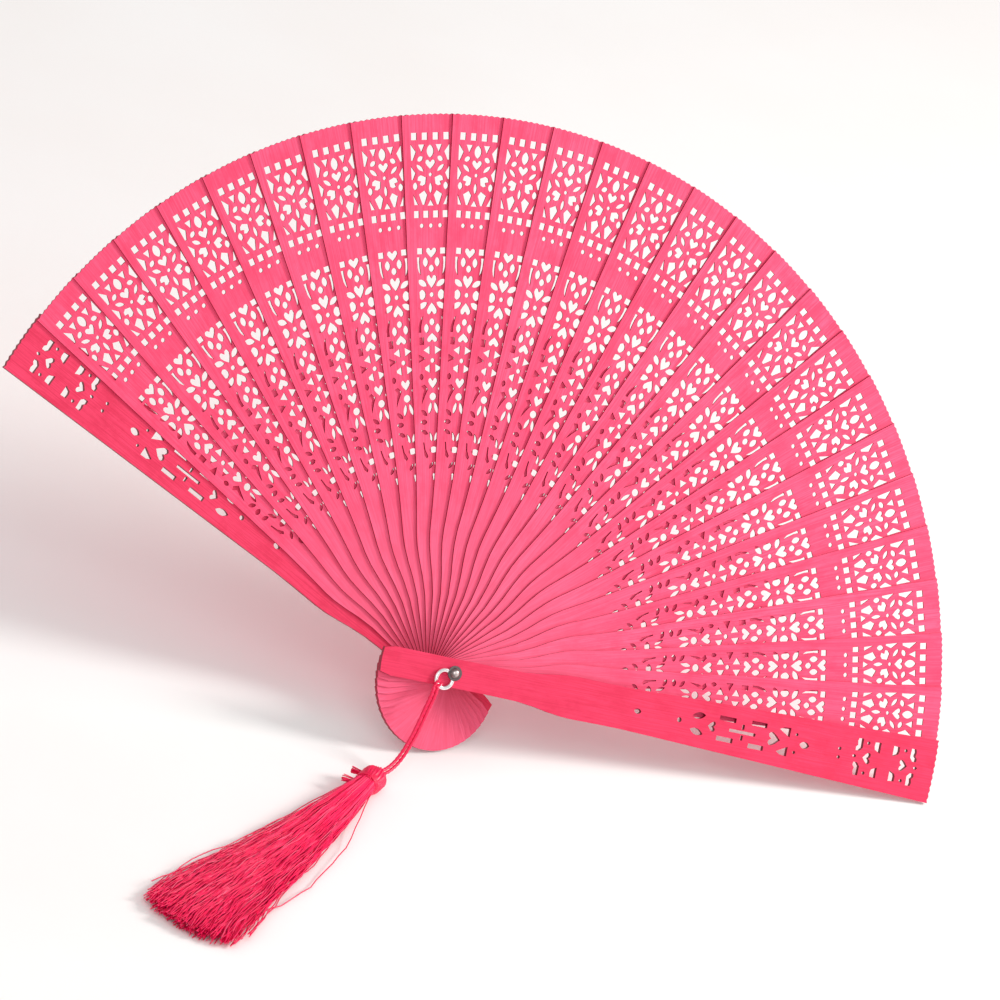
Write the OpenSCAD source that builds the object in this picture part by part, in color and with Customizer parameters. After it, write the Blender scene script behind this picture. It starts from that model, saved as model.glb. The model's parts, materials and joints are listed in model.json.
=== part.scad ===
// Folding fan of pierced wooden blades, turning on one rivet, with a tassel on a small metal link.
// The fan is drawn with its rivet along Y and its front towards -Y, and then leans back as it is displayed.
// A blade is drawn flat, pointing up, with the rivet at zero.

/* [Fan] */
// angle between the middle lines of the two guards when the fan is open
open_angle = 155; // [100:1:170]
// angle of the front guard above the horizontal when the fan is open
front_guard_angle = -7.3; // [-20:0.1:20]
// how far the fan leans back from upright
lean = 30; // [0:1:45]

/* [Blades] */
// distance from the rivet to the tip of every blade
tip_radius = 176; // [120:1:240]
// distance from the rivet to the tail end of every blade
tail_radius = 25.5; // [16:0.5:32]
// width of a stick at its tip
stick_tip_width = 19.6; // [14:0.1:26]
// width of a stick where the pierced part ends
stick_neck_width = 12.2; // [9:0.1:14]
// width of a stick at the rivet
stick_heel_width = 6.8; // [5:0.1:9]
// width of a stick at its tail end
stick_tail_width = 8.6; // [6:0.1:11]
// thickness of a stick
stick_thickness = 0.55; // [0.4:0.05:1]
// width of a guard at its tip
guard_tip_width = 20.6; // [15:0.1:28]
// width of a guard where the pierced part ends
guard_neck_width = 13.4; // [10:0.1:17]
// width of a guard at the rivet
guard_heel_width = 9.2; // [7:0.1:12]
// width of a guard at its tail end
guard_tail_width = 9.4; // [7:0.1:12]
// thickness of a guard
guard_thickness = 1.5; // [1:0.1:2.5]
// space between neighbouring blades
blade_gap = 0.1; // [0.1:0.05:0.3]
// distance from the rivet to where the heel begins to widen
heel_radius = 15; // [10:0.5:22]
// distance from the rivet to where the straight taper to the tip begins
neck_radius = 62; // [45:0.5:75]
// depth of the little notches along a blade's tip
notch_depth = 0.35; // [0.1:0.05:0.6]

/* [Rivet] */
// diameter of the rivet's shank
pin_diameter = 2.4; // [1.6:0.1:3.2]
// radial play of a blade on the shank
pin_play = 0.1; // [0.05:0.01:0.15]
// radial play of a washer on the shank
washer_play = 0.05; // [0.03:0.01:0.1]
// diameter of the rivet's two heads
head_diameter = 3.4; // [3:0.1:4.6]
// height of the rivet's two heads
head_height = 1.1; // [0.8:0.1:2]
// diameter of the washers under the heads
washer_diameter = 4.8; // [4:0.1:7]
// thickness of a washer
washer_thickness = 0.4; // [0.3:0.05:0.8]

/* [Tassel] */
// outer diameter of the link's ring
ring_diameter = 7; // [6:0.1:9]
// diameter of the link's wire
wire_diameter = 1.3; // [1:0.1:1.6]
// thickness of the link's flat eye
eye_thickness = 0.6; // [0.4:0.05:1]
// diameter of the link's flat eye
eye_diameter = 4.4; // [3.8:0.1:6]
// diameter of the doubled cord
cord_diameter = 2.4; // [1.6:0.1:3]
// diameter of the knot at the top of the tassel
knot_diameter = 7; // [4:0.1:9]
// length of the knot
knot_length = 6.5; // [3:0.1:9]
// diameter of the thread binding under the knot
binding_diameter = 8; // [6:0.1:10]
// length of the thread binding
binding_length = 3.5; // [2:0.1:5]
// length of the loose threads
skirt_length = 120; // [60:1:140]
// width of the loose threads where they end
skirt_width = 36; // [16:1:44]

/* [Hidden] */
$fn = 48;
wood = [0.94, 0.33, 0.46];
steel = [0.8, 0.8, 0.82];
thread = [0.85, 0.08, 0.25];
floor_level = -24.1;
stick_count = 26;
pitch = stick_thickness + blade_gap;
sticks_depth = stick_count * pitch + blade_gap;
front_face = -sticks_depth / 2 - guard_thickness;
back_face = sticks_depth / 2 + guard_thickness;
step_angle = open_angle / (stick_count + 1);
hole_diameter = pin_diameter + 2 * pin_play;
// The fretwork was laid out on a blade 176 long and 19.6 wide, and follows the blade's own size.
along = tip_radius / 176;
stick_across = stick_tip_width / 19.6;
guard_across = guard_tip_width / 20.6;
stick_scale = min(along, stick_across);
guard_scale = min(along, guard_across);
// The cord's route from the link's ring down to the knot.
cord_route = [[-6.3, -11.7, 2.5], [-6.8, -12.8, 2.2], [-7.4, -14.1, 0], [-9.1, -16, -4.1], [-11.8, -19.2, -10.2],
    [-14.6, -22, -15], [-17.8, -24.7, -18.6], [-21.3, -27.2, -20.3], [-24.5, -29.15, -20.6], [-26, -30.5, -20.6]];
tassel_heading = 222;
knot_start = [-26, -30.5, floor_level + knot_diameter / 2];

// ---- placing ----

// Leans the whole fan back about the rivet.
module leaned() rotate([-lean, 0, 0]) children();

// Stands a flat blade up at its level and turns it about the rivet.
module placed(angle, front, thickness)
    leaned() translate([0, front, 0]) rotate([0, 90 - angle, 0])
        rotate([90, 0, 0]) translate([0, 0, -thickness]) linear_extrude(thickness) children();

// Puts one cut of a stick at its place, and its mirror image on the other side.
module on_stick(u, v, turn = 0)
    translate([u * stick_across, v * along]) rotate(turn) scale(stick_scale) children();
module pair_on_stick(u, v, turn = 0) {
    on_stick(u, v, turn) children();
    mirror([1, 0]) on_stick(u, v, turn) children();
}
module on_guard(u, v, turn = 0)
    translate([u * guard_across, v * along]) rotate(turn) scale(guard_scale) children();
module pair_on_guard(u, v, turn = 0) {
    on_guard(u, v, turn) children();
    mirror([1, 0]) on_guard(u, v, turn) children();
}

// ---- the shapes of the cuts ----

// A pointed oval between two arcs.
module lens(w, h) {
    r = (h * h / 4 + w * w / 4) / w;
    intersection() {
        translate([r - w / 2, 0]) circle(r);
        translate([w / 2 - r, 0]) circle(r);
    }
}
module heart(w, h) polygon([[0, -0.5 * h], [0.34 * w, -0.12 * h], [0.5 * w, 0.16 * h], [0.47 * w, 0.38 * h],
    [0.32 * w, 0.5 * h], [0.14 * w, 0.44 * h], [0, 0.24 * h], [-0.14 * w, 0.44 * h], [-0.32 * w, 0.5 * h],
    [-0.47 * w, 0.38 * h], [-0.5 * w, 0.16 * h], [-0.34 * w, -0.12 * h]]);
module comma(w, h) polygon([[0, -0.5 * h], [0.5 * w, -0.1 * h], [0.5 * w, 0.25 * h], [0.25 * w, 0.5 * h],
    [0.02 * w, 0.22 * h], [-0.25 * w, 0.5 * h], [-0.5 * w, 0.25 * h], [-0.5 * w, -0.1 * h]]);
module chip(w, h) polygon([[-w / 2, -h / 2], [w / 2, -h / 2], [w / 2, h / 2], [-w / 2, h / 2]]);
module wedge(w, h) polygon([[-w / 2, h / 2], [w / 2, h / 2], [0, -h / 2]]);

// ---- the fretwork of a stick, from the tip down ----

module stick_top_panel() {
    pair_on_stick(1.9, 168.9) chip(2, 2.3);
    pair_on_stick(5.65, 168.9) chip(2, 2.3);
    pair_on_stick(0, 0) polygon([[6.9, 166.6], [4.9, 164], [6, 161.3], [6.7, 161.3]]);
    pair_on_stick(3.05, 165) wedge(2.3, 2.6);
    on_stick(0, 164.2) lens(2.5, 4.2);
    pair_on_stick(3.5, 161.8, 60) lens(1.6, 2.3);
    on_stick(0, 160) heart(3.5, 3.1);
    pair_on_stick(3.6, 158.9, -50) lens(1.3, 3.3);
    on_stick(0, 156.8) circle(0.6);
    pair_on_stick(2.8, 155.1, 240) comma(3.3, 3.2);
    pair_on_stick(0, 0) polygon([[6.8, 159.7], [5.1, 157.3], [6, 155.2], [6.6, 155.2]]);
    pair_on_stick(5.3, 153.2) lens(1.7, 2.5);
    on_stick(0, 152.6) lens(1.2, 3.6);
    pair_on_stick(0, 0) polygon([[2.1, 151.9], [1.05, 150.4], [2.1, 147.3], [2.9, 147.3], [4.1, 150.6]]);
    on_stick(0, 148) rotate(180) wedge(2.3, 2);
    pair_on_stick(0, 0) polygon([[6.1, 150.8], [4.3, 147.3], [5.7, 147.3]]);
    pair_on_stick(1.7, 144.3) chip(1.9, 2.2);
    pair_on_stick(5, 144.3) chip(1.8, 2.2);
    on_stick(0, 140.7) circle(0.7);
    pair_on_stick(3.2, 140.7) circle(0.7);
}

module stick_middle_panel() {
    pair_on_stick(4, 132.7) chip(1.9, 1.9);
    on_stick(0, 132.1) heart(3.7, 3.3);
    pair_on_stick(2.05, 129.2) lens(1.9, 3.2);
    on_stick(0, 127.2) lens(1.9, 2.3);
    pair_on_stick(0, 0) polygon([[4, 130.8], [5.1, 130.8], [5.1, 128.4], [4.5, 126.2], [3.7, 124.9],
        [4, 127.4], [4.15, 129.2]]);
    on_stick(0, 123) heart(3.6, 4.3);
    pair_on_stick(3.2, 122.6, -60) lens(1.9, 3.7);
    pair_on_stick(3.3, 118.9) lens(2.5, 3.3);
    pair_on_stick(3.2, 115.5, -120) lens(1.9, 3.7);
    on_stick(0, 118.9) circle(0.75);
    on_stick(0, 114.6, 180) heart(3.6, 3.9);
    pair_on_stick(0, 0) polygon([[3.1, 112.4], [4.1, 111.2], [4.8, 109], [4.8, 107], [3.9, 107],
        [3.9, 108.8], [3.6, 110.4]]);
    on_stick(0, 110.3) lens(1.9, 2.2);
    pair_on_stick(1.95, 108.3) lens(1.8, 3);
    on_stick(0, 105.4, 180) heart(3.7, 3);
    pair_on_stick(3.8, 104.3) chip(1.6, 2.4);
    pair_on_stick(2, 101.4, 90) wedge(2.9, 2.3);
}

module stick_low_panel() {
    pair_on_stick(3.6, 98.8, 270) wedge(2.6, 2.5);
    on_stick(0, 98.1) circle(0.75);
    pair_on_stick(2.1, 95.6, 90) wedge(2.8, 2.4);
    pair_on_stick(4, 93) lens(1.4, 2.1);
    on_stick(0, 90.9) heart(3.2, 3.4);
    pair_on_stick(0, 0) polygon([[4.2, 90], [3, 90.6], [1.7, 89.2], [2.8, 87], [4, 84.3], [3.6, 87.4],
        [3.1, 88.7]]);
    on_stick(0, 86.7) circle(1.2);
    pair_on_stick(1.05, 83.1, 14) lens(1.3, 4);
    pair_on_stick(3.15, 81.6, -45) lens(1.3, 2.8);
    pair_on_stick(3.3, 78.7, 90) lens(1.6, 2.3);
    pair_on_stick(3.1, 75.5, 120) lens(1.3, 2.6);
    pair_on_stick(0.95, 74.1, -20) lens(1.2, 3.4);
    pair_on_stick(0, 0) polygon([[3.7, 72.3], [3.3, 72.3], [2.9, 69.9], [1.9, 67.9], [2.4, 67.2], [3.3, 68.2],
        [3.4, 69.8]]);
    on_stick(0, 69.9, 90) lens(2, 3.2);
    pair_on_stick(1, 65, 35) lens(1.1, 2.6);
    on_stick(0, 61.4) lens(1.3, 2.4);
}

// ---- the fretwork of a guard, from the tip down ----

module boot() polygon([[-2.1, -1.1], [0.9, -1.2], [2, -0.2], [2, 1.2], [0.9, 1.3], [0.2, 0.6], [-1, 0.9],
    [-2.1, 0.6]]);
module block() polygon([[-1.9, -1.1], [1.6, -1.1], [0.7, 0.9], [-0.2, 1.2], [-1.7, 1.1]]);

module guard_tip_group(v, turn) translate([0, v * along]) rotate(turn) {
    for (side = [0, 1]) mirror([side, 0]) scale(guard_scale) {
        translate([-3.9, 3.2]) boot();
        translate([-3.9, -3.4]) block();
        translate([-4.9, 0.1]) circle(0.55);
    }
    scale(guard_scale) {
        translate([0, 4.5]) lens(1, 1.4);
        rotate(180) heart(3.7, 2.9);
    }
}

module guard_panel() {
    guard_tip_group(164.4, 0);
    guard_tip_group(150.7, 180);
    pair_on_guard(1.4, 140.6) circle(0.55);
    on_guard(0, 127.7) lens(2.2, 3.6);
    pair_on_guard(2.9, 124.4) circle(0.5);
    pair_on_guard(0, 0) polygon([[1.5, 121.9], [4.6, 121.9], [4.5, 119.6], [3.6, 117.9]]);
    on_guard(0, 116.5, 180) heart(4.3, 4.3);
    pair_on_guard(3.7, 110.4) chip(1.5, 5.6);
    on_guard(0, 104.8) chip(1, 9.6);
    pair_on_guard(1.75, 104.8) chip(1.6, 0.9);
    pair_on_guard(3.3, 98.9) chip(1.5, 6);
    on_guard(0, 93.5) heart(3.3, 2.7);
    pair_on_guard(2.6, 88.4, -12) lens(2.1, 4.9);
    on_guard(0, 81.7) circle(0.8);
    on_guard(0, 66.5) lens(1.7, 2.6);
}

// ---- the blades ----

// The swell of a blade from its heel to its neck: share of the way up, share of the widening.
swell = [[0, 0], [0.19, 0.06], [0.32, 0.35], [0.43, 0.72], [0.53, 0.98], [0.62, 1.06], [0.7, 1.03],
    [0.83, 1], [1, 1]];

// Half of a blade's outline: the tail, the heel, the swell below the neck, and the straight taper to the tip.
function half_outline(tip_w, neck_w, heel_w, tail_w) = concat(
    [[tail_w / 2, -tail_radius * 0.84], [heel_w / 2, -4]],
    [for (s = swell)
        [(heel_w + (neck_w - heel_w) * s[1]) / 2, heel_radius + (neck_radius - heel_radius) * s[0]]]);

// The tip follows the swing of the fan and carries a row of little notches.
function tip_points(w) = let (half = asin(w / 2 / tip_radius), n = 10)
    [for (i = [0:2 * n]) let (a = half * (1 - i / n), r = tip_radius - (i % 2 == 1 ? notch_depth : 0))
        r * [sin(a), cos(a)]];

// The tail ends on the round of the tail disc, with its corners eased.
function tail_points(w) = let (half = asin(w / 2 / tail_radius) * 0.82)
    [for (i = [0:6]) let (a = half * (i / 3 - 1)) tail_radius * [sin(a), -cos(a)]];

module blade_outline(tip_w, neck_w, heel_w, tail_w) {
    side = half_outline(tip_w, neck_w, heel_w, tail_w);
    last = len(side) - 1;
    difference() {
        polygon(concat(tail_points(tail_w), side, tip_points(tip_w),
            [for (i = [last:-1:0]) [-side[i][0], side[i][1]]]));
        circle(d = hole_diameter);
    }
}

module stick_shape() difference() {
    blade_outline(stick_tip_width, stick_neck_width, stick_heel_width, stick_tail_width);
    stick_top_panel();
    stick_middle_panel();
    stick_low_panel();
}

module guard_shape() difference() {
    blade_outline(guard_tip_width, guard_neck_width, guard_heel_width, guard_tail_width);
    guard_panel();
}

module stick(i) color(wood)
    placed(front_guard_angle + i * step_angle, front_face + guard_thickness + blade_gap + (i - 1) * pitch,
        stick_thickness)
        stick_shape();

module front_guard() color(wood) placed(front_guard_angle, front_face, guard_thickness) guard_shape();
module back_guard() color(wood)
    placed(front_guard_angle + open_angle, back_face - guard_thickness, guard_thickness) guard_shape();

// ---- the rivet ----

// Turns a shape drawn along Z so that it runs along the rivet, from the front towards the back.
module along_rivet(y) leaned() translate([0, y, 0]) rotate([-90, 0, 0]) children();

eye_front = front_face - blade_gap - eye_thickness;
washer_front = eye_front - blade_gap - washer_thickness;

// Half of a domed head in section, with its flat side at zero.
module head_section() intersection() {
    translate([0, -head_height]) square([head_diameter / 2, head_height]);
    translate([0, dome_radius() - head_height]) circle(dome_radius());
}
function dome_radius() = (head_height * head_height + head_diameter * head_diameter / 4) / (2 * head_height);

module rivet_pin() color(steel) {
    length = back_face + washer_thickness - washer_front;
    along_rivet(washer_front) union() {
        cylinder(d = pin_diameter, h = length);
        rotate_extrude() head_section();
        translate([0, 0, length]) mirror([0, 0, 1]) rotate_extrude() head_section();
    }
}
module washer(y) color(steel) along_rivet(y) difference() {
    cylinder(d = washer_diameter, h = washer_thickness);
    translate([0, 0, -1]) cylinder(d = pin_diameter + 2 * washer_play, h = washer_thickness + 2);
}
module front_washer() washer(washer_front);
module back_washer() washer(back_face);

// ---- the tassel ----

ring_radius = (ring_diameter - wire_diameter) / 2;
ring_level = front_face - blade_gap - wire_diameter / 2;
// The ring stands beside the rivet, as near as a narrow web between its hole and the shank's hole allows.
ring_web = 0.4;
ring_offset = hole_diameter / 2 + ring_web + ring_radius - wire_diameter / 2;
ring_direction = 210;

// A flat eye round the shank, under the washer, and a round wire ring that the cord hangs from.
module tassel_link() color(steel) difference() {
    union() {
        along_rivet(eye_front) cylinder(d = eye_diameter, h = eye_thickness);
        leaned() rotate([0, -ring_direction, 0]) translate([ring_offset, ring_level, 0]) rotate([90, 0, 0])
            rotate_extrude() translate([ring_radius, 0]) circle(d = wire_diameter, $fn = 24);
    }
    along_rivet(eye_front - 5) cylinder(d = hole_diameter, h = eye_thickness + 10);
    along_rivet(eye_front - 5) cylinder(d = washer_diameter + 2 * blade_gap, h = 5);
}

// A tube of eight sides swept along a row of points.
function unit(v) = v / norm(v);
function dir_at(p, i) = unit(p[min(i + 1, len(p) - 1)] - p[max(i - 1, 0)]);
function side_of(d) = unit(cross(d, [0.3, 0.2, 1]));
function smooth(p, n) = [for (i = [0:len(p) - 2]) for (k = [0:n - 1])
    let (t = k / n, a = p[max(i - 1, 0)], b = p[i], c = p[i + 1], d = p[min(i + 2, len(p) - 1)])
    0.5 * ((2 * b) + (c - a) * t + (2 * a - 5 * b + 4 * c - d) * t * t
        + (3 * b - a - 3 * c + d) * t * t * t)];
module tube(route, d, sides = 8) {
    p = concat(smooth(route, 2), [route[len(route) - 1]]);
    n = len(p);
    m = len(route) - 1;
    rings = [for (i = [0:n - 1])
        let (t = i == n - 1 ? unit(route[m] - route[m - 1]) : dir_at(p, i), s = side_of(t), u = cross(t, s))
        for (k = [0:sides - 1]) p[i] + d / 2 * (cos(k * 360 / sides) * s + sin(k * 360 / sides) * u)];
    walls = [for (i = [0:n - 2]) for (k = [0:sides - 1]) let (j = (k + 1) % sides)
        [i * sides + k, i * sides + j, (i + 1) * sides + j, (i + 1) * sides + k]];
    polyhedron(rings, concat([[for (k = [sides - 1:-1:0]) k]], walls,
        [[for (k = [0:sides - 1]) (n - 1) * sides + k]]));
}
module tassel_cord() color(thread) tube(cord_route, cord_diameter);

// What lies on the floor points along the tassel's heading, with its start at zero.
module laid(distance, height)
    translate([knot_start[0], knot_start[1], floor_level]) rotate([0, 0, tassel_heading])
        translate([distance, 0, height]) rotate([0, 90, 0]) children();

module tassel_knot() color(thread) laid(0, knot_diameter / 2)
    rotate_extrude() polygon([[0, 0], [knot_diameter * 0.36, 0], [knot_diameter / 2, knot_length * 0.3],
        [knot_diameter / 2, knot_length * 0.75], [knot_diameter * 0.44, knot_length], [0, knot_length]]);

module tassel_binding() color(thread) laid(knot_length, binding_diameter / 2)
    rotate_extrude() polygon([[0, 0], [binding_diameter * 0.44, 0],
        [binding_diameter / 2, binding_length * 0.25], [binding_diameter / 2, binding_length * 0.75],
        [binding_diameter * 0.44, binding_length], [0, binding_length]]);

// The loose threads: share of the length, share of the end width, and height of each section.
skirt_sections = [[0, 0.22, 7.8], [0.08, 0.32, 8], [0.2, 0.44, 7.6], [0.4, 0.6, 6.8], [0.6, 0.75, 5.8],
    [0.8, 0.88, 4.8], [1, 1, 4]];
module tassel_skirt() color(thread) {
    sides = 14;
    n = len(skirt_sections);
    points = [for (s = skirt_sections) for (k = [0:sides - 1]) let (a = k * 360 / sides)
        [s[0] * skirt_length, s[1] * skirt_width / 2 * cos(a), s[2] / 2 * (1 + sin(a))]];
    walls = [for (i = [0:n - 2]) for (k = [0:sides - 1]) let (j = (k + 1) % sides)
        [i * sides + k, (i + 1) * sides + k, (i + 1) * sides + j, i * sides + j]];
    translate([knot_start[0], knot_start[1], floor_level]) rotate([0, 0, tassel_heading])
        translate([knot_length + binding_length, 0, 0])
            polyhedron(points, concat([[for (k = [0:sides - 1]) k]], walls,
                [[for (k = [sides - 1:-1:0]) (n - 1) * sides + k]]));
}

// ---- nodes ----

front_guard();
for (i = [1:stick_count]) stick(i);
back_guard();
rivet_pin();
front_washer();
back_washer();
tassel_link();
tassel_cord();
tassel_knot();
tassel_binding();
tassel_skirt();
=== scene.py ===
# %% [markdown]
# # A pierced wooden folding fan with a tassel
# The fan was designed as an exact assembly first: 26 thin sticks and two thicker guards on one rivet.
# Here that assembly is loaded as a fixed frame, and this lesson gives it grain, dye, metal, thread and
# light. Nothing of the frame is moved. New pieces are made in the same coordinates, in metres, so that
# they land where the design says.

# %% Load the frame
import json
import math

import bpy
from mathutils import Matrix, Vector


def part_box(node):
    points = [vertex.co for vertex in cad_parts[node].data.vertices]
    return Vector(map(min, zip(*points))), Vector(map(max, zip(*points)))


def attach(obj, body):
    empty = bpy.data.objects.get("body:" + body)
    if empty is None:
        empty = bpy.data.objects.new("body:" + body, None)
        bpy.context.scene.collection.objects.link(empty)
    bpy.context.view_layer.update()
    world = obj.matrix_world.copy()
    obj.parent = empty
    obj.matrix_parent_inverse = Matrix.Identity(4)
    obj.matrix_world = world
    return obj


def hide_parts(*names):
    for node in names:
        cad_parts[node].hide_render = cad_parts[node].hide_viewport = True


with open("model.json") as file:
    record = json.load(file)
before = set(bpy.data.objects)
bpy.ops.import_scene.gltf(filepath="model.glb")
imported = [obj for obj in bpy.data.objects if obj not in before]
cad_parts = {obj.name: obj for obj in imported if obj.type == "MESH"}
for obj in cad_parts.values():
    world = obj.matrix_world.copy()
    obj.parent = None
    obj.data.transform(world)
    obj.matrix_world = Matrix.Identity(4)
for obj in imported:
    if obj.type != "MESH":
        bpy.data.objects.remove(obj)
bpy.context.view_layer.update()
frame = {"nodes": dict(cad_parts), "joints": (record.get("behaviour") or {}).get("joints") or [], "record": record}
nodes = frame["nodes"]
MM = 0.001

# %% [markdown]
# ## Facts of the fan
# Every blade turns about the rivet, so the rivet's direction is the one fact that all patterns need.
# It could be typed in again, but the joints of the frame already hold it, and so does the angle that
# the fan opens to. `across` and `up` are the two directions in the plane of the open fan.

# %% Read the rivet's direction and the blades' angles
fold = next(j for j in frame["joints"] if j["name"] == "fold")
rivet = -Vector(fold["axis"]).normalized()
across = Vector((1, 0, 0))
up = across.cross(rivet).normalized()
open_angle = math.radians(fold["range_deg"][1])
stick_names = sorted(n for n in nodes if n.startswith("stick_"))
step_angle = open_angle / (len(stick_names) + 1)
first_angle = math.radians(-7.3)


def depth(node):
    """How far a node reaches along the rivet, front to back, in metres."""
    along = [rivet.dot(v.co) for v in nodes[node].data.vertices]
    return min(along), max(along)


front_of_first = depth(stick_names[0])[0]
pitch = (depth(stick_names[-1])[0] - front_of_first) / (len(stick_names) - 1)
floor_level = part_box("tassel_knot")[0].z
print("rivet", tuple(round(c, 3) for c in rivet), "opens", fold["range_deg"][1], "degrees")
print("blade pitch", round(pitch / MM, 3), "mm, floor at", round(floor_level / MM, 2), "mm")

# %% [markdown]
# ## The camera
# A fan this flat changes its outline a great deal with the viewpoint, so the camera comes before any
# looks. It could be placed by a location and three rotations, but an aim point, a compass turn, a
# height and a tilt are easier to reason about. The long lens keeps the blades' lengths in proportion.

# %% Place the camera
aim = Vector((0.5, 0.5, 64.6)) * MM
camera_turn, camera_height, camera_tilt = 29.8, 28.3, 19.2
camera_distance = 3.13
looks_from = Matrix.Rotation(math.radians(-camera_turn), 3, "Z") @ Vector(
    (0, -math.cos(math.radians(camera_height)), math.sin(math.radians(camera_height))))
camera = bpy.data.objects.new("camera", bpy.data.cameras.new("camera"))
bpy.context.scene.collection.objects.link(camera)
camera.data.lens = 360
camera.data.sensor_width = 36
camera.data.clip_end = 20
camera.rotation_mode = "QUATERNION"
camera.location = aim + looks_from * camera_distance
level = (-looks_from).to_track_quat("-Z", "Y")
camera.rotation_quaternion = level @ Matrix.Rotation(math.radians(camera_tilt), 3, "Z").to_quaternion()
bpy.context.scene.camera = camera
print("camera at", tuple(round(c, 3) for c in camera.location))

# %% [markdown]
# ## Small helpers for meshes
# Several pieces are built point by point. One helper turns points and faces into an object, and another
# skins a row of rings, which is how a tube, a knot or a bead is made when its section changes along it.

# %% Mesh helpers


def as_piece(name, points, faces, smooth=True):
    """A mesh object made of points in metres and faces."""
    mesh = bpy.data.meshes.new(name)
    mesh.from_pydata([tuple(p) for p in points], [], faces)
    mesh.validate()
    mesh.update()
    for face in mesh.polygons:
        face.use_smooth = smooth
    piece = bpy.data.objects.new(name, mesh)
    bpy.context.scene.collection.objects.link(piece)
    return piece


def skin(rings, closed_ends=True, start=0):
    """Faces between rings of equal size, with the ends closed."""
    sides = len(rings[0])
    faces = []
    for i in range(len(rings) - 1):
        for k in range(sides):
            j = (k + 1) % sides
            faces.append([start + i * sides + k, start + i * sides + j,
                          start + (i + 1) * sides + j, start + (i + 1) * sides + k])
    if closed_ends:
        faces.append([start + k for k in reversed(range(sides))])
        faces.append([start + (len(rings) - 1) * sides + k for k in range(sides)])
    return faces


def smooth_line(points, parts):
    """A curve through every point, cut into equal parts between each two."""
    line = []
    for i in range(len(points) - 1):
        a, b = points[max(i - 1, 0)], points[i]
        c, d = points[i + 1], points[min(i + 2, len(points) - 1)]
        for k in range(parts):
            t = k / parts
            line.append(0.5 * (2 * b + (c - a) * t + (2 * a - 5 * b + 4 * c - d) * t * t
                               + (3 * b - a - 3 * c + d) * t ** 3))
    return line + [points[-1]]


def frames_along(line):
    """A direction and two side directions at each point, turned as little as can be."""
    result, side = [], Vector((0.3, 0.2, 1))
    for i in range(len(line)):
        ahead = (line[min(i + 1, len(line) - 1)] - line[max(i - 1, 0)]).normalized()
        side = (side - ahead * side.dot(ahead)).normalized()
        result.append((ahead, side, ahead.cross(side)))
    return result


print("mesh helpers ready")

# %% [markdown]
# ## The cord
# The tassel hangs from a doubled cord: one red cord of two twisted plies, folded in half over the
# ring. A plain round curve would show neither the two runs nor the twist. Here each run is its own
# tube, half a width to one side of the route, and its two-lobed section turns as it goes, which draws
# the twist in the shape itself.

# %% Build the doubled cord
cord_route = [Vector(p) * MM for p in (
    (-6.3, -11.7, 2.5), (-6.8, -12.8, 2.2), (-7.4, -14.1, 0), (-9.1, -16, -4.1), (-11.8, -19.2, -10.2),
    (-14.6, -22, -15), (-17.8, -24.7, -18.6), (-21.3, -27.2, -20.3), (-24.5, -29.15, -20.6),
    (-26, -30.5, -20.6))]
cord_width = 2.4 * MM
run_radius = cord_width / 4
ply_twist = 2 * math.pi / (3.2 * MM)


def twisted_run(line, offset, radius, turn=0.0, sides=20, start_share=1.0):
    """Rings of one run of cord: two plies wound round each other, drawn in at the start."""
    rings, gone = [], 0.0
    for i, (ahead, side, other) in enumerate(frames_along(line)):
        if i:
            gone += (line[i] - line[i - 1]).length
        full = min(1, start_share + gone / (1.9 * MM))
        middle = line[i] + (side * offset[0] + other * offset[1]) * full
        ring = []
        for k in range(sides):
            a = 2 * math.pi * k / sides
            lobe = 0.6 + 0.4 * abs(math.cos(a - turn - ply_twist * gone))
            ring.append(middle + (side * math.cos(a) + other * math.sin(a)) * radius * lobe * full)
        rings.append(ring)
    return rings


cord_line = smooth_line(cord_route, 8)
cord_points, cord_faces = [], []
for sign in (-1, 1):
    rings = twisted_run(cord_line, (0, sign * run_radius), run_radius, turn=sign, start_share=0.35)
    cord_faces += skin(rings, start=len(cord_points))
    cord_points += [p for ring in rings for p in ring]
cord = as_piece("cord", cord_points, cord_faces)
cord_length = sum((b - a).length for a, b in zip(cord_line, cord_line[1:]))
print("cord length", round(cord_length / MM, 1), "mm,", len(cord_faces), "faces")

# %% [markdown]
# ## Writing materials as sums
# A material is a sum of patterns, and sums are easier to read as Python than as a web of nodes. Each
# number in a node tree could be wired by hand, but the class below wraps one socket, so that
# `1 - mask * 0.5` adds the Math nodes itself.

# %% A number with arithmetic


class Reading:
    """A number that changes over a surface, with arithmetic that adds Math nodes."""

    def __init__(self, recipe, socket):
        self.recipe, self.socket = recipe, socket

    def math(self, operation, *others):
        inputs = [self, *others]
        node = self.recipe.add("ShaderNodeMath", {"operation": operation}, dict(enumerate(inputs)))
        return Reading(self.recipe, node.outputs[0])

    def __add__(self, other): return self.math("ADD", other)
    def __radd__(self, other): return self.math("ADD", other)
    def __mul__(self, other): return self.math("MULTIPLY", other)
    def __rmul__(self, other): return self.math("MULTIPLY", other)
    def __sub__(self, other): return self.math("SUBTRACT", other)
    def __truediv__(self, other): return self.math("DIVIDE", other)
    def __rsub__(self, other): return self.math("MULTIPLY", -1) + other


print("numbers can be written as sums")

# %% [markdown]
# ## One way to add a node
# Nodes differ in their settings and in their sockets, and a script that sets each by hand grows long.
# `Recipe.add` takes a node's type, its settings and what goes into its sockets, and does the rest. The
# same class serves the node trees that make geometry, because their Math node is the same one.

# %% A tree of nodes


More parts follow.
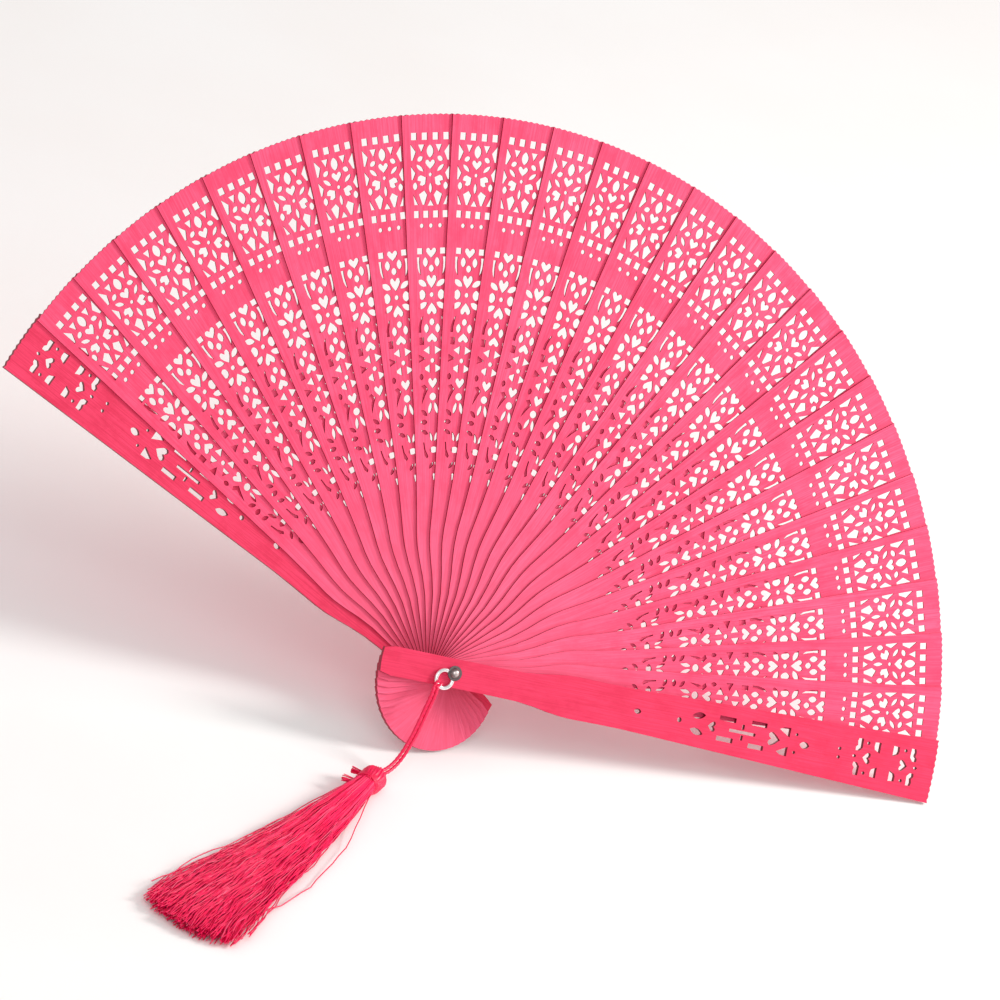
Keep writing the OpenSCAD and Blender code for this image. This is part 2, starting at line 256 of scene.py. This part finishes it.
class Recipe:
    """A node tree that is filled by add()."""

    def __init__(self, tree):
        self.tree = tree

    def add(self, kind, settings=None, sockets=None):
        node = self.tree.nodes.new(kind)
        for name, value in (settings or {}).items():
            setattr(node, name, value)
        for name, value in (sockets or {}).items():
            socket = node.inputs[name]
            value = value.socket if isinstance(value, Reading) else value
            if isinstance(value, bpy.types.NodeSocket):
                self.tree.links.new(value, socket)
            else:
                socket.default_value = value
        return node

    def reading(self, kind, settings=None, sockets=None, output=0):
        return Reading(self, self.add(kind, settings, sockets).outputs[output])

    def ease(self, value, low, high):
        """0 below low, 1 above high, and smooth between."""
        return self.reading("ShaderNodeMapRange", {"interpolation_type": "SMOOTHSTEP"},
                            {"Value": value, "From Min": low, "From Max": high})

    def mix(self, factor, one, two):
        """A colour between two colours."""
        return self.add("ShaderNodeMix", {"data_type": "RGBA"}, {0: factor, 6: one, 7: two}).outputs[2]


print("trees can be filled by add()")

# %% [markdown]
# ## Colours and finishes
# Colours are chosen as they look on a screen, but nodes work in linear light, so one function turns one
# into the other. A finish is a recipe with a Principled surface. What stays the same all over the
# surface, such as the metallic share, is set once, and what varies is fed in later.

# %% A finish


def rgb(r, g, b):
    """A colour given as it looks on a screen, 0 to 255, in the linear values that nodes use."""
    return tuple(((c / 255 + 0.055) / 1.055) ** 2.4 if c > 10 else c / 3294.6 for c in (r, g, b)) + (1,)


class Finish(Recipe):
    """A material with one Principled surface."""

    def __init__(self, name, **fixed):
        self.material = bpy.data.materials.new(name)
        self.material.use_nodes = True
        super().__init__(self.material.node_tree)
        self.tree.nodes.clear()
        self.surface = self.add("ShaderNodeBsdfPrincipled")
        for socket, value in fixed.items():
            self.surface.inputs[socket.replace("_", " ")].default_value = value
        self.add("ShaderNodeOutputMaterial", None, {"Surface": self.surface.outputs[0]})
        self.place = self.add("ShaderNodeTexCoord").outputs["Object"]

    def along(self, direction):
        """How far the surface's point lies along a direction, in metres."""
        return self.reading("ShaderNodeVectorMath", {"operation": "DOT_PRODUCT"},
                            {0: self.place, 1: tuple(direction)}, "Value")

    def noise(self, vector, scale=1.0, detail=3.0, roughness=0.55):
        return self.reading("ShaderNodeTexNoise", {"noise_dimensions": "3D"},
                            {"Vector": vector, "Scale": scale, "Detail": detail, "Roughness": roughness})

    def point(self, x, y, z):
        return self.add("ShaderNodeCombineXYZ", None, {0: x, 1: y, 2: z}).outputs[0]

    def relief(self, height, depth_m, strength=1.0):
        bump = self.add("ShaderNodeBump", None, {"Height": height, "Distance": depth_m, "Strength": strength})
        self.tree.links.new(bump.outputs[0], self.surface.inputs["Normal"])

    def feed(self, **varying):
        for name, value in varying.items():
            value = value.socket if isinstance(value, Reading) else value
            self.tree.links.new(value, self.surface.inputs[name.replace("_", " ")])


print("ready to write finishes")

# %% [markdown]
# ## Dyed wood
# The blades are thin veneer, dyed a hot pink, with the grain running along each blade. A pattern laid
# over the whole fan would give every blade the same grain direction, which no real fan has. All blades
# radiate from the rivet and each lies at its own level along it, so the material can work out which
# blade it is on, turn the pattern to that blade's angle, and shift its tone a little. One material then
# serves all 26 sticks, and follows them when they move, because Object coordinates move with them.
#
# The walls of the cuts face sideways instead of along the rivet. They take the dye deeper, so they are
# found by their direction and made a dark crimson.

# %% Make the wood


def wood_finish(name, blade_number, light, deep, wall, rough, worn):
    """Wood for blades whose number, counted from the front guard, comes from blade_number(finish)."""
    wood = Finish(name, Specular_IOR_Level=0.35)
    number = blade_number(wood)
    angle = number * step_angle + first_angle
    x, z = wood.along(across), wood.along(up)
    sine, cosine = angle.math("SINE"), angle.math("COSINE")
    lengthwise = x * cosine + z * sine
    sideways = x * sine - z * cosine
    layer = number * 3.7
    drift = wood.noise(wood.point(lengthwise / 0.03, sideways / 0.012, layer), detail=2)
    bent = sideways + (drift - 0.5) * 0.0012
    grain = wood.noise(wood.point(lengthwise / 0.02, bent / 0.0004, layer), detail=4, roughness=0.6)
    pores = wood.noise(wood.point(lengthwise / 0.0035, bent / 0.00014, layer + 9), detail=2)
    pores = wood.ease(pores, 0.58, 0.72)
    tone = wood.reading("ShaderNodeTexWhiteNoise", {"noise_dimensions": "1D"}, {"W": number + 0.37}, "Value")
    blotch = wood.noise(wood.point(lengthwise / 0.011, sideways / 0.006, layer + 5), detail=4, roughness=0.7)
    colour = wood.mix(wood.ease(grain, 0.32, 0.68) * 0.7 + 0.3, deep, light)
    colour = wood.mix(wood.ease(blotch, 0.42, 0.68) * 0.55, colour, deep)
    colour = wood.mix((tone * 0.3) + pores * 0.4, colour, deep)
    near_rivet = 1 - wood.ease(lengthwise.math("ABSOLUTE"), 0.02, 0.09)
    colour = wood.mix(near_rivet * worn, colour, rgb(255, 122, 154))
    facing = wood.reading("ShaderNodeVectorMath", {"operation": "DOT_PRODUCT"},
                          {0: wood.add("ShaderNodeTexCoord").outputs["Normal"], 1: tuple(rivet)}, "Value")
    flat = wood.ease(facing.math("ABSOLUTE"), 0.35, 0.8)
    colour = wood.mix(flat, wall, colour)
    wood.feed(Base_Color=colour, Roughness=(grain * -0.2 + pores * 0.15) + rough)
    wood.relief(grain * 0.6 - pores * 0.5, 0.00004, 0.5)
    return wood.material


def stick_number(wood):
    return ((wood.along(rivet) - (front_of_first - pitch * 0.08)) / pitch).math("FLOOR") + 1


def guard_number(wood):
    return wood.along(rivet).math("GREATER_THAN", 0) * (len(stick_names) + 1)


stick_wood = wood_finish("dyed veneer", stick_number, rgb(254, 96, 136), rgb(230, 50, 94),
                         rgb(140, 8, 38), 0.62, 0.28)
guard_wood = wood_finish("dyed guard wood", guard_number, rgb(248, 66, 108), rgb(214, 32, 74),
                         rgb(140, 10, 42), 0.52, 0.0)
print("wood:", len(stick_wood.node_tree.nodes), "nodes")

# %% [markdown]
# ## Metal
# The rivet is a soft steel pin whose head has been pressed to a dome, so it is grey, with fine rings left by
# the tool. Its colour is painted darker outside a small pale centre, as grime and painted shade towards
# the rim round a painted highlight in the middle. The steels are tinted pink, a painted reflection of the
# pink blades. The ring is bright plated wire. Both use the same recipe: a metallic surface whose roughness
# and colour change with fine scratches, and with rings about the rivet.

# %% Make the metals


def metal_finish(name, colour, dark, rough, rings_and_rim_shade):
    metal = Finish(name, Metallic=1.0)
    x, z = metal.along(across), metal.along(up)
    radius = (x * x + z * z).math("SQRT")
    rings = metal.noise(metal.point(radius / 0.00016, 0.5, 0.5), detail=3)
    scratches = metal.noise(metal.point(x / 0.0001, z / 0.0016, metal.along(rivet) / 0.0004), detail=3)
    smudges = metal.noise(metal.place, scale=900, detail=3)
    wear = rings * rings_and_rim_shade + scratches * (1 - rings_and_rim_shade)
    tint = metal.mix(metal.ease(wear * 0.5 + smudges * 0.5, 0.42, 0.66), colour, dark)
    # painted shade and grime: darker beyond a small pale centre about the rivet's axis, the pale centre standing
    # for a painted highlight
    tint = metal.mix(metal.ease(radius, 0.6 * MM, 1.1 * MM) * rings_and_rim_shade, tint, dark)
    metal.feed(Base_Color=tint,
               Roughness=(wear * 0.22 + smudges * 0.12) + rough)
    metal.relief(wear, 0.00002, 0.5)
    return metal.material


# the pink in these steel colours is a painted reflection of the pink blades
rivet_metal = metal_finish("pressed steel", rgb(236, 222, 220), rgb(120, 104, 104), 0.24, 0.9)
washer_metal = metal_finish("stamped steel", rgb(150, 140, 140), rgb(96, 84, 86), 0.3, 0.6)
ring_metal = metal_finish("bright plated wire", rgb(255, 255, 255), rgb(232, 231, 233), 0.12, 0.1)
print("metals ready")

# %% [markdown]
# ## Thread
# The tassel is rayon, which is smooth, so each thread carries a bright line along it. A cord also
# shows its twist. The fibres are drawn as fine slanting lines in the relief, and each loose thread
# brings its own tone as an attribute that its geometry nodes store, so neighbours differ as real
# threads do. The palest tones are also painted a whitish pink, a painted highlight on those threads.

# %% Make the threads


def thread_finish(name, light, deep, toned):
    thread = Finish(name, Specular_IOR_Level=0.5)
    x, y, z = (thread.along(v) for v in ((1, 0, 0), (0, 1, 0), (0, 0, 1)))
    fibres = thread.noise(thread.point((x + y) / 0.0011, (x - y) / 0.00022, z / 0.00025), detail=3)
    if toned:
        tone = thread.reading("ShaderNodeAttribute", {"attribute_name": "tone"}, None, "Fac")
    else:
        tone = thread.noise(thread.place, scale=700, detail=2)
    colour = thread.mix(thread.ease(fibres, 0.3, 0.7), deep, light)
    colour = thread.mix(tone * 0.45, colour, deep)
    # painted highlight: threads of the highest tone are mixed towards a whitish pink, standing for glints
    colour = thread.mix(thread.ease(tone, 0.84, 0.96) * 0.5, colour, rgb(255, 130, 164))
    thread.feed(Base_Color=colour, Roughness=fibres * 0.25 + 0.24)
    thread.relief(fibres, 0.00005, 0.6)
    return thread.material


cord_thread = thread_finish("twisted rayon cord", rgb(255, 24, 100), rgb(228, 0, 62), False)
loose_thread = thread_finish("loose rayon threads", rgb(255, 26, 112), rgb(252, 0, 84), True)
print("threads ready")

# %% [markdown]
# ## Finish the frame's own pieces
# The blades, the rivet and the link already have their exact shape, so they stay and only take a
# finish. The slot is linked to the object and not to its mesh, which leaves the mesh as it was.

# %% Give each node its material


def finish_node(name, material):
    node = nodes[name]
    if not node.material_slots:
        node.data.materials.append(None)
    for place in node.material_slots:
        place.link = "OBJECT"
        place.material = material


for name in nodes:
    finish_node(name, stick_wood if name in stick_names else
                guard_wood if name.endswith("guard") else
                rivet_metal if name == "rivet_pin" else
                ring_metal if name == "tassel_link" else
                washer_metal if name.endswith("washer") else cord_thread)
cord.data.materials.append(cord_thread)
print("finished", len(nodes), "nodes")

# %% [markdown]
# ## Where the tassel lies
# The tassel rests on the floor and points away from the fan. Its pieces are easiest to draw along X
# from zero, with the floor at z = 0, and then to be put in place by one matrix. The heading and the
# starting point come from the last stretch of the cord, so cord and tassel can't part.

# %% Measure the tassel's place
tassel_ahead = (cord_route[-1] - cord_route[-2]).normalized()
heading = math.atan2(tassel_ahead.y, tassel_ahead.x)
tassel_start = Vector((cord_route[-1].x, cord_route[-1].y, floor_level))
laid = Matrix.Translation(tassel_start) @ Matrix.Rotation(heading, 4, "Z")
knot_length, binding_length, skirt_length, skirt_width = 6.5 * MM, 3.5 * MM, 120 * MM, 36 * MM
head_radius = 4 * MM
print("tassel heads", round(math.degrees(heading), 1), "degrees, from", [round(c, 4) for c in tassel_start])

# %% [markdown]
# ## The tassel's head
# A hank of thread is folded over the cord, so the head is a bulb of threads that run lengthwise from
# the cord to the neck. It could be hundreds of separate threads, but they lie so close that a ribbed
# bulb shows the same. The ribs are slightly slanted and uneven, as the threads of a real hank are.

# %% Build the head
head_profile = [(0, 0.3), (0.3, 1.7), (1, 2.8), (2.2, 3.6), (4, 4.1), (6, 4.15), (8, 3.8), (9.6, 3.5),
                (10.6, 3.6)]
sides, ribs = 120, 26
head_line = smooth_line([Vector((x, r, 0)) for x, r in head_profile], 4)
head_rings = []
for point in head_line:
    x, r = point.x * MM, point.y * MM
    ring = []
    for k in range(sides):
        a = 2 * math.pi * k / sides
        rib = math.cos(ribs * a + x / MM * 1.1 + 1.3 * math.sin(3 * a))
        uneven = 0.045 * math.sin(5 * a + x / MM * 0.7) + 0.03 * math.sin(9 * a + 2)
        radius = r * (1 + uneven) + 0.16 * MM * rib * min(1, r / (2 * MM))
        height = max(head_radius + radius * math.sin(a), 0.02 * MM)
        ring.append(laid @ Vector((x, radius * math.cos(a), height)))
    head_rings.append(ring)
head = as_piece("tassel_head", [p for ring in head_rings for p in ring], skin(head_rings))
head.data.materials.append(cord_thread)
print("head:", len(head.data.polygons), "faces")

# %% [markdown]
# ## Growing shapes with nodes
# The binding and the loose threads repeat one simple thing many times, which is work for Geometry
# Nodes. Three helpers keep that short: one opens a tree with named inputs, one closes it by putting
# the shape in its place, and one runs it once and keeps the result as a plain mesh.

# %% Helpers for geometry trees


def geometry_tree(name, inputs):
    """A geometry node tree with named inputs: (name, socket type, value)."""
    tree = bpy.data.node_groups.new(name, "GeometryNodeTree")
    tree.interface.new_socket("Geometry", in_out="OUTPUT", socket_type="NodeSocketGeometry")
    for label, kind, value in inputs:
        socket = tree.interface.new_socket(label, in_out="INPUT", socket_type="NodeSocket" + kind)
        if value is not None:
            socket.default_value = value
    recipe = Recipe(tree)
    entry = recipe.add("NodeGroupInput")
    return recipe, {label: Reading(recipe, entry.outputs[label]) for label, _, _ in inputs}


def close_tree(recipe, geometry, material, place, heading_socket):
    """Puts the shape in its place, makes it real and gives it its material."""
    turn = recipe.add("ShaderNodeCombineXYZ", None, {2: heading_socket}).outputs[0]
    turn = recipe.add("FunctionNodeEulerToRotation", None, {0: turn}).outputs[0]
    moved = recipe.add("GeometryNodeTransform", None,
                       {"Geometry": geometry, "Translation": place, "Rotation": turn})
    real = recipe.add("GeometryNodeRealizeInstances", None, {"Geometry": moved.outputs[0]})
    painted = recipe.add("GeometryNodeSetMaterial", None,
                         {"Geometry": real.outputs[0], "Material": material})
    recipe.add("NodeGroupOutput", None, {0: painted.outputs[0]})


def grow(name, recipe, values):
    """Runs a tree once and keeps the result as a plain mesh object."""
    seed = bpy.data.objects.new(name + "_seed", bpy.data.meshes.new(name + "_seed"))
    bpy.context.scene.collection.objects.link(seed)
    modifier = seed.modifiers.new("grow", "NODES")
    modifier.node_group = recipe.tree
    for item in recipe.tree.interface.items_tree:
        if item.item_type == "SOCKET" and item.in_out == "INPUT" and item.name in values:
            modifier[item.identifier] = values[item.name]
    graph = bpy.context.evaluated_depsgraph_get()
    mesh = bpy.data.meshes.new_from_object(seed.evaluated_get(graph))
    mesh.name = name
    seed.modifiers.remove(modifier)
    bpy.data.objects.remove(seed)
    for face in mesh.polygons:
        face.use_smooth = True
    piece = bpy.data.objects.new(name, mesh)
    bpy.context.scene.collection.objects.link(piece)
    print(name + ":", len(mesh.polygons), "faces")
    return piece


print("tree helpers ready")

# %% [markdown]
# ## The binding
# A finer thread is wound round the neck to hold the hank. It is one spiral of several close turns, and
# a round section swept along it makes the thread. The tree takes the turns, the radii and the length
# as inputs, so the same tree could wind any neck.

# %% Wind the binding
winding, at = geometry_tree("winding", [
    ("Turns", "Float", 7.0), ("Radius", "Float", 3.4 * MM), ("Length", "Float", 2.4 * MM),
    ("Thread Radius", "Float", 0.2 * MM), ("Start", "Float", 0.0), ("Height", "Float", 0.0),
    ("Place", "Vector", None), ("Heading", "Float", 0.0), ("Material", "Material", None)])
spiral = winding.add("GeometryNodeCurveSpiral", None, {
    "Resolution": 40, "Rotations": at["Turns"], "Start Radius": at["Radius"], "End Radius": at["Radius"],
    "Height": at["Length"]})
lying = winding.add("GeometryNodeTransform", None, {
    "Geometry": spiral.outputs[0],
    "Translation": winding.add("ShaderNodeCombineXYZ", None, {0: at["Start"], 2: at["Height"]}).outputs[0],
    "Rotation": winding.add("FunctionNodeEulerToRotation", None, {0: (0, math.pi / 2, 0)}).outputs[0]})
section = winding.add("GeometryNodeCurvePrimitiveCircle", None,
                      {"Resolution": 6, "Radius": at["Thread Radius"]})
wound = winding.add("GeometryNodeCurveToMesh", None,
                    {"Curve": lying.outputs[0], "Profile Curve": section.outputs[0], "Fill Caps": True})
close_tree(winding, wound.outputs[0], at["Material"], at["Place"], at["Heading"])
binding = grow("tassel_binding_thread", winding, {
    "Turns": 6.0, "Radius": 3.7 * MM, "Length": 2.9 * MM, "Thread Radius": 0.24 * MM, "Start": 6.9 * MM,
    "Height": head_radius, "Place": tuple(tassel_start), "Heading": heading, "Material": cord_thread})

# %% [markdown]
# ## The loose threads
# Several hundred threads spread from the neck over the floor. Drawing them one by one is out of the
# question, and a solid skirt would look like plastic. Geometry Nodes make one straight line a thread
# and give each its own lane, layer, length and tone. The seed is fixed, so the tassel is the same each
# time.

# %% Lay out the threads
hank, at = geometry_tree("hank", [
    ("Threads", "Int", 500), ("Points", "Int", 20), ("Length", "Float", 100 * MM),
    ("Start Width", "Float", 7 * MM), ("End Width", "Float", 34 * MM),
    ("Start Height", "Float", 7 * MM), ("End Height", "Float", 4 * MM),
    ("Thread Radius", "Float", 0.2 * MM), ("Crinkle", "Float", 0.6 * MM), ("Bow", "Float", 8 * MM),
    ("Strays", "Float", 0.02), ("Start", "Float", 0.0), ("Lift", "Float", 0.0), ("Seed", "Int", 3),
    ("Place", "Vector", None), ("Heading", "Float", 0.0), ("Material", "Material", None)])


def chance(number, low=0.0, high=1.0):
    """A random number for each thread."""
    node = hank.add("FunctionNodeRandomValue", {"data_type": "FLOAT"})
    node.inputs[2].default_value, node.inputs[3].default_value = low, high
    hank.tree.links.new((at["Seed"] + number).socket, node.inputs["Seed"])
    return Reading(hank, node.outputs[1])


roots = hank.add("GeometryNodePoints", None, {"Count": at["Threads"]}).outputs[0]
kept = {"lane": (1, -1.0, 1.0), "layer": (2, 0.0, 1.0), "share": (3, 0.0, 1.0), "phase": (4, 0.0, 1.0),
        "tone": (5, 0.0, 1.0), "odd": (6, 0.0, 1.0), "drift": (7, -1.0, 1.0)}
for label, (number, low, high) in kept.items():
    roots = hank.add("GeometryNodeStoreNamedAttribute", {"data_type": "FLOAT", "domain": "POINT"},
                     {"Geometry": roots, "Name": label, "Value": chance(number, low, high)}).outputs[0]
straight = hank.add("GeometryNodeCurvePrimitiveLine", None, {"Start": (0, 0, 0), "End": (1, 0, 0)})
straight = hank.add("GeometryNodeResampleCurve", None, {"Curve": straight.outputs[0], "Count": at["Points"]})
threads = hank.add("GeometryNodeInstanceOnPoints", None, {"Points": roots, "Instance": straight.outputs[0]})
threads = hank.add("GeometryNodeRealizeInstances", None, {"Geometry": threads.outputs[0]}).outputs[0]
t = Reading(hank, hank.add("ShaderNodeSeparateXYZ", None,
                           {0: hank.add("GeometryNodeInputPosition").outputs[0]}).outputs[0])
own = {label: hank.reading("GeometryNodeInputNamedAttribute", {"data_type": "FLOAT"}, {"Name": label})
       for label in kept}
print("each thread keeps:", ", ".join(kept))

# %% [markdown]
# ## Where each thread runs
# `t` goes from 0 at the neck to 1 at the cut end, and every place along a thread is a sum of what it
# does there. The hank widens and sinks towards its end. Threads keep to their lane, drift a little
# across it, wave together and alone, and end at uneven lengths in loose clumps.

# %% Bend the threads
stray = own["odd"].math("LESS_THAN", at["Strays"])
swell = t.math("POWER", 1.05)
width = at["Start Width"] + (at["End Width"] - at["Start Width"]) * swell
height = at["Start Height"] + (at["End Height"] - at["Start Height"]) * swell
wave = ((t * 3.1 + own["phase"]) * (2 * math.pi)).math("SINE") * 0.6
wave = wave + ((t * 7.3 + own["layer"] * 5) * (2 * math.pi)).math("SINE") * 0.4
fine = ((t * 5.1 + own["phase"] * 3) * (2 * math.pi)).math("SINE")
arch = (t * math.pi).math("SINE")
round_off = (1 - own["lane"] * own["lane"] * 0.9).math("SQRT")
lane = (own["lane"] + own["drift"] * t * 0.34) / (1 + t * 0.34)
sway = (t * 5.2 + 0.5).math("SINE") * t * at["Crinkle"] * 1.8
clump = (own["lane"] * 11 + 2).math("SINE") * 0.5 + 0.5
bow = stray * own["lane"].math("SIGN") * arch * at["Bow"]
side = lane * width * 0.5 + at["Crinkle"] * wave * t.math("POWER", 0.6) + sway + bow
rise = at["Lift"] + at["Thread Radius"] + (
    height * 0.5 * (1 + round_off * (own["layer"] * 2 - 1))) * (1 - stray * arch * 0.8)
rise = (rise + at["Crinkle"] * fine * 0.5 * t).math("MAXIMUM", at["Thread Radius"] * 1.1)
ahead_by = at["Start"] + at["Length"] * t * (
    1 - own["share"] * own["share"] * 0.06 - clump * own["share"] * 0.05) * (
    1 - own["lane"] * own["lane"] * 0.05)
moved = hank.add("GeometryNodeSetPosition", None, {
    "Geometry": threads,
    "Position": hank.add("ShaderNodeCombineXYZ", None, {0: ahead_by, 1: side, 2: rise}).outputs[0]})
section = hank.add("GeometryNodeCurvePrimitiveCircle", None, {"Resolution": 3, "Radius": at["Thread Radius"]})
hair = hank.add("GeometryNodeCurveToMesh", None, {"Curve": moved.outputs[0],
                                                  "Profile Curve": section.outputs[0], "Fill Caps": True})
close_tree(hank, hair.outputs[0], at["Material"], at["Place"], at["Heading"])
skirt = grow("tassel_threads", hank, {
    "Threads": 880, "Points": 21, "Length": skirt_length + 1 * MM, "Start Width": 6.8 * MM,
    "End Width": skirt_width, "Start Height": 7 * MM, "End Height": 3.6 * MM, "Thread Radius": 0.22 * MM,
    "Crinkle": 1 * MM, "Bow": 7 * MM, "Strays": 0.007, "Start": knot_length + binding_length - 1 * MM,
    "Lift": 0.2 * MM, "Seed": 4, "Place": tuple(tassel_start), "Heading": heading, "Material": loose_thread})

# %% [markdown]
# ## The cut ends
# Where the binding thread was knotted, its frayed ends stand out from the head as two short tufts. The
# tree for the hank makes them too, with short threads and another heading.

# %% Grow the two tufts
tufts = []
for name, start, turned, length, seed in (("tuft_near", 2.8, 62, 5.4, 11), ("tuft_far", 8.6, 52, 5.8, 15)):
    root = laid @ Vector((start * MM, 0, 0))
    tufts.append(grow(name, hank, {
        "Threads": 26, "Points": 6, "Length": length * MM, "Start Width": 1.3 * MM, "End Width": 3.2 * MM,
        "Start Height": 1.2 * MM, "End Height": 2.4 * MM, "Thread Radius": 0.17 * MM, "Crinkle": 0.1 * MM,
        "Bow": 0.0, "Strays": 0.0, "Start": 2.6 * MM, "Lift": 3.4 * MM, "Seed": seed,
        "Place": tuple(root), "Heading": heading - math.radians(turned), "Material": loose_thread}))

# %% [markdown]
# ## The loop on the ring
# The folded end of the cord comes up through the ring and turns over its wire. Only the turn shows. It
# is the same twisted run as the cord, swept along a short arc over the wire that ends where the cord
# begins. The arc starts high enough to stay clear of the guard when the tassel is lifted.

# %% Build the loop
ring_direction = math.radians(210)
wire_out, wire_level = 6.75 * MM, 10.75 * MM
outwards = across * math.cos(ring_direction) + up * math.sin(ring_direction)
front_side = -rivet
loop_middle = outwards * wire_out + front_side * wire_level
loop_radius = 1.36 * MM
loop_points, loop_faces = [], []
for sign in (-1, 1):
    sideways = outwards.cross(front_side).normalized() * sign * 0.62 * MM
    arc = [loop_middle + sideways + (outwards * math.cos(a) + front_side * math.sin(a)) * loop_radius
           for a in (math.radians(d) for d in (130, 110, 90, 70))]
    loop_line = smooth_line([*arc, cord_route[1] + sideways], 6)
    rings = twisted_run(loop_line, (0, 0), run_radius * 0.88, turn=sign)
    loop_faces += skin(rings, start=len(loop_points))
    loop_points += [p for ring in rings for p in ring]
loop = as_piece("cord_loop", loop_points, loop_faces)
loop.data.materials.append(cord_thread)
print("loop:", len(loop_faces), "faces")

# %% [markdown]
# ## Which piece moves with what
# The tassel and its cord swing on the ring, so they ride on the tassel's body. Each new piece also
# stands in for the plain solid that the design holds in its place.

# %% Attach the tassel
for piece in (cord, head, binding, skirt, loop, *tufts):
    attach(piece, "tassel")
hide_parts("tassel_cord")
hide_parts("tassel_knot")
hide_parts("tassel_binding")
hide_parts("tassel_skirt")
print("tassel attached")

# %% [markdown]
# ## The ribbon
# A narrow satin ribbon links the blades of such a fan behind their plain band, and its length between
# two blades sets how far the fan opens. It is glued to the back of each blade. As one long strip it
# would have to stretch when the fan closes, so each blade carries its own glued length, thinner than
# the space between the blades, and the lengths meet from blade to blade when the fan is open.

# %% Weave the ribbon
ribbon_low, ribbon_high, ribbon_thick = 134.4 * MM, 139.4 * MM, 0.05 * MM
satin = Finish("satin ribbon", Specular_IOR_Level=0.6)
blade = ((satin.along(rivet) - front_of_first) / pitch).math("FLOOR") + 1
turned = blade * step_angle + first_angle
x, z = satin.along(across), satin.along(up)
lengthwise = x * turned.math("COSINE") + z * turned.math("SINE")
sideways = x * turned.math("SINE") - z * turned.math("COSINE")
warp = (lengthwise * (2 * math.pi / (0.32 * MM))).math("SINE") * 0.5 + 0.5
weft = (sideways * (2 * math.pi / (0.5 * MM))).math("SINE") * 0.5 + 0.5
edge = satin.ease((lengthwise - (ribbon_low + ribbon_high) / 2).math("ABSOLUTE"), 1.9 * MM, 2.3 * MM)
slubs = satin.noise(satin.point(sideways / 0.006, lengthwise / 0.0004, blade), detail=2)
satin.feed(Base_Color=satin.mix(edge * 0.45 + slubs * 0.3, rgb(250, 66, 112), rgb(204, 20, 62)),
           Roughness=warp * 0.12 + slubs * 0.15 + 0.3)
satin.relief(warp * 0.7 + weft * 0.3, 0.00003, 0.5)


def glued_length(name, number, half_width, back):
    """A thin strip on the back of one blade."""
    a = first_angle + number * step_angle
    outward = across * math.cos(a) + up * math.sin(a)
    side = across * math.sin(a) - up * math.cos(a)
    points, columns, glue = [], 10, 0.02 * MM
    for k in range(columns + 1):
        u = half_width * (2 * k / columns - 1)
        for level in (glue, glue + ribbon_thick):
            for v in (ribbon_low, ribbon_high):
                points.append(outward * v + side * u + rivet * (back + level))
    faces = [[0, 1, 3, 2]]
    for k in range(columns):
        for a0, a1 in ((1, 0), (3, 1), (2, 3), (0, 2)):
            faces.append([4 * k + a0, 4 * k + a1, 4 * k + 4 + a1, 4 * k + 4 + a0])
    faces.append([4 * columns + j for j in (2, 3, 1, 0)])
    return as_piece(name, points, faces, smooth=False)


for number, node in enumerate(["front_guard", *stick_names]):
    strip = glued_length(f"ribbon_{number:02d}", number, 8.3 * MM, depth(node)[1])
    strip.data.materials.append(satin.material)
    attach(strip, next(b for b, names in frame["record"]["behaviour"]["bodies"].items() if node in names))
print("ribbon on", len(stick_names) + 1, "blades")

# %% [markdown]
# ## Floor and light
# The fan is shown on a plain pale surface in soft light. The floor is one large sheet with a faint
# mottle, so that it isn't dead flat. A big soft light from the right throws the thin shadow of each
# blade on the next, and the pale surroundings fill the rest.

# %% Lay the floor
paper = Finish("pale paper")
mottle = paper.noise(paper.place, scale=6, detail=4)
fibre = paper.noise(paper.place, scale=420, detail=3)
paper.feed(Base_Color=paper.mix(paper.ease(mottle, 0.3, 0.7), rgb(253, 250, 248), rgb(255, 254, 253)),
           Roughness=fibre * 0.2 + 0.7)
paper.relief(fibre, 0.00005, 0.3)
corners = [Vector((x, y, floor_level - 0.05 * MM)) for x, y in ((-4, -4), (4, -4), (4, 6), (-4, 6))]
floor = as_piece("floor", corners, [[0, 1, 2, 3]], smooth=False)
floor.data.materials.append(paper.material)

# %% [markdown]
# ## Light
# A big soft light from the right, low enough to draw the blades' edges, and a weaker one from the front
# left. The world adds an even white, as pale walls do, and the Standard view keeps the dye's strength.

# %% Light it


def soft_light(name, place, size, watts, colour=(1, 1, 1)):
    light = bpy.data.lights.new(name, "AREA")
    light.shape, light.size, light.energy, light.color = "DISK", size, watts, colour
    lamp = bpy.data.objects.new(name, light)
    bpy.context.scene.collection.objects.link(lamp)
    lamp.location = place
    lamp.rotation_euler = (Vector((0, 0, 0.05)) - Vector(place)).to_track_quat("-Z", "Y").to_euler()
    return lamp


soft_light("window", (0.95, -0.3, 0.62), 0.4, 10.2, (1.0, 0.98, 0.96))
soft_light("fill", (-0.6, -1.0, 1.0), 1.0, 4.8, (0.98, 0.98, 1.0))
world = bpy.data.worlds.new("studio")
bpy.context.scene.world = world
world.use_nodes = True
world.node_tree.nodes["Background"].inputs["Color"].default_value = (1.0, 0.985, 0.98, 1)
world.node_tree.nodes["Background"].inputs["Strength"].default_value = 0.62
bpy.context.scene.view_settings.view_transform = "Standard"

# %% [markdown]
# ## Finish
# The view layer is brought up to date.

# %% Update the view layer
bpy.context.view_layer.update()
